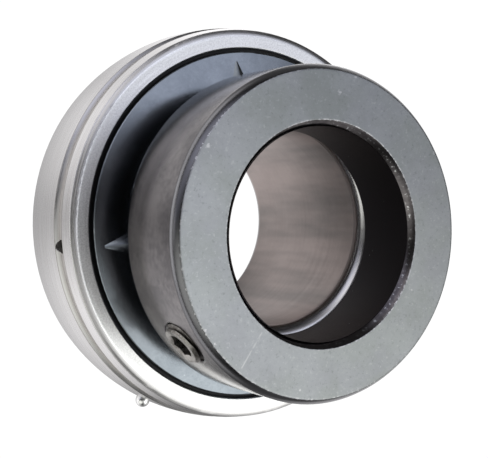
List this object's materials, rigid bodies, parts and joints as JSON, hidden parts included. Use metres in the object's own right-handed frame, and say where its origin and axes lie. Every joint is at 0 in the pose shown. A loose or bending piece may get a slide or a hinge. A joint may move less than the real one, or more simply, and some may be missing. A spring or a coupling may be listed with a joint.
{
  "type": "insert bearing",
  "caption": "Wide inner ring insert ball bearing with a spherical outside, rubber seals, flingers and an eccentric locking collar with a set screw.",
  "frame": {"origin": "centre of the outer ring's spherical outside, on the bore's axis", "axes": "+Z along the bore, towards the locking collar; the part stands on the inner ring's far face"},
  "size_m": [0.072, 0.072, 0.0518],
  "materials": {
    "ring_steel": "ground",
    "pin_steel": "polished",
    "shell_steel": "blackened",
    "seal_rubber": "matt",
    "flinger_steel": "satin, darkened",
    "ball_steel": "mirror polished",
    "cage_steel": "pressed",
    "collar_steel": "black oxide, satin",
    "screw_steel": "worn black oxide"
  },
  "bodies": {
    "outer": {"outer_ring": "ring_steel", "anti_rotation_pin": "pin_steel", "seal_shell_front": "shell_steel", "seal_shell_back": "shell_steel", "seal_lip_front": "seal_rubber", "seal_lip_back": "seal_rubber"},
    "inner": {"inner_ring": "ring_steel", "flinger_front": "flinger_steel", "flinger_back": "flinger_steel"},
    "cage": {"cage_front": "cage_steel", "cage_back": "cage_steel", "cage_rivets": "cage_steel"},
    "collar": {"eccentric_collar": "collar_steel"},
    "screw": {"set_screw": "screw_steel"},
    "ball_1": {"ball_1": "ball_steel"},
    "ball_2": {"ball_2": "ball_steel"},
    "ball_3": {"ball_3": "ball_steel"},
    "ball_4": {"ball_4": "ball_steel"},
    "ball_5": {"ball_5": "ball_steel"},
    "ball_6": {"ball_6": "ball_steel"},
    "ball_7": {"ball_7": "ball_steel"},
    "ball_8": {"ball_8": "ball_steel"},
    "ball_9": {"ball_9": "ball_steel"}
  },
  "joints": [
    {"name": "inner_spin", "type": "hinge", "parent": "outer", "child": "inner", "pos_m": [0, 0, 0], "axis": [0, 0, 1], "continuous": true},
    {"name": "cage_spin", "type": "hinge", "parent": "outer", "child": "cage", "pos_m": [0, 0, 0], "axis": [0, 0, 1], "continuous": true},
    {"name": "ball_1_spin", "type": "hinge", "parent": "cage", "child": "ball_1", "pos_m": [0.02675, 0, 0], "axis": [0, 0, 1], "continuous": true},
    {"name": "ball_2_spin", "type": "hinge", "parent": "cage", "child": "ball_2", "pos_m": [0.02049, 0.01719, 0], "axis": [0, 0, 1], "continuous": true},
    {"name": "ball_3_spin", "type": "hinge", "parent": "cage", "child": "ball_3", "pos_m": [0.00465, 0.02634, 0], "axis": [0, 0, 1], "continuous": true},
    {"name": "ball_4_spin", "type": "hinge", "parent": "cage", "child": "ball_4", "pos_m": [-0.01337, 0.02317, 0], "axis": [0, 0, 1], "continuous": true},
    {"name": "ball_5_spin", "type": "hinge", "parent": "cage", "child": "ball_5", "pos_m": [-0.02514, 0.00915, 0], "axis": [0, 0, 1], "continuous": true},
    {"name": "ball_6_spin", "type": "hinge", "parent": "cage", "child": "ball_6", "pos_m": [-0.02514, -0.00915, 0], "axis": [0, 0, 1], "continuous": true},
    {"name": "ball_7_spin", "type": "hinge", "parent": "cage", "child": "ball_7", "pos_m": [-0.01337, -0.02317, 0], "axis": [0, 0, 1], "continuous": true},
    {"name": "ball_8_spin", "type": "hinge", "parent": "cage", "child": "ball_8", "pos_m": [0.00465, -0.02634, 0], "axis": [0, 0, 1], "continuous": true},
    {"name": "ball_9_spin", "type": "hinge", "parent": "cage", "child": "ball_9", "pos_m": [0.02049, -0.01719, 0], "axis": [0, 0, 1], "continuous": true},
    {"name": "collar_turn", "type": "hinge", "parent": "inner", "child": "collar", "pos_m": [0.00053, -0.00079, 0.017], "axis": [0, 0, 1], "continuous": true},
    {"name": "screw_travel", "type": "slide", "parent": "collar", "child": "screw", "axis": [-0.7547, -0.6561, 0], "range_m": [-0.0009, 0.003]}
  ],
  "couplings": [
    {"joint": "cage_spin", "follows": "inner_spin", "ratio": 0.39615},
    {"joint": "ball_1_spin", "follows": "inner_spin", "ratio": -2.3035},
    {"joint": "ball_2_spin", "follows": "inner_spin", "ratio": -2.3035},
    {"joint": "ball_3_spin", "follows": "inner_spin", "ratio": -2.3035},
    {"joint": "ball_4_spin", "follows": "inner_spin", "ratio": -2.3035},
    {"joint": "ball_5_spin", "follows": "inner_spin", "ratio": -2.3035},
    {"joint": "ball_6_spin", "follows": "inner_spin", "ratio": -2.3035},
    {"joint": "ball_7_spin", "follows": "inner_spin", "ratio": -2.3035},
    {"joint": "ball_8_spin", "follows": "inner_spin", "ratio": -2.3035},
    {"joint": "ball_9_spin", "follows": "inner_spin", "ratio": -2.3035}
  ]
}
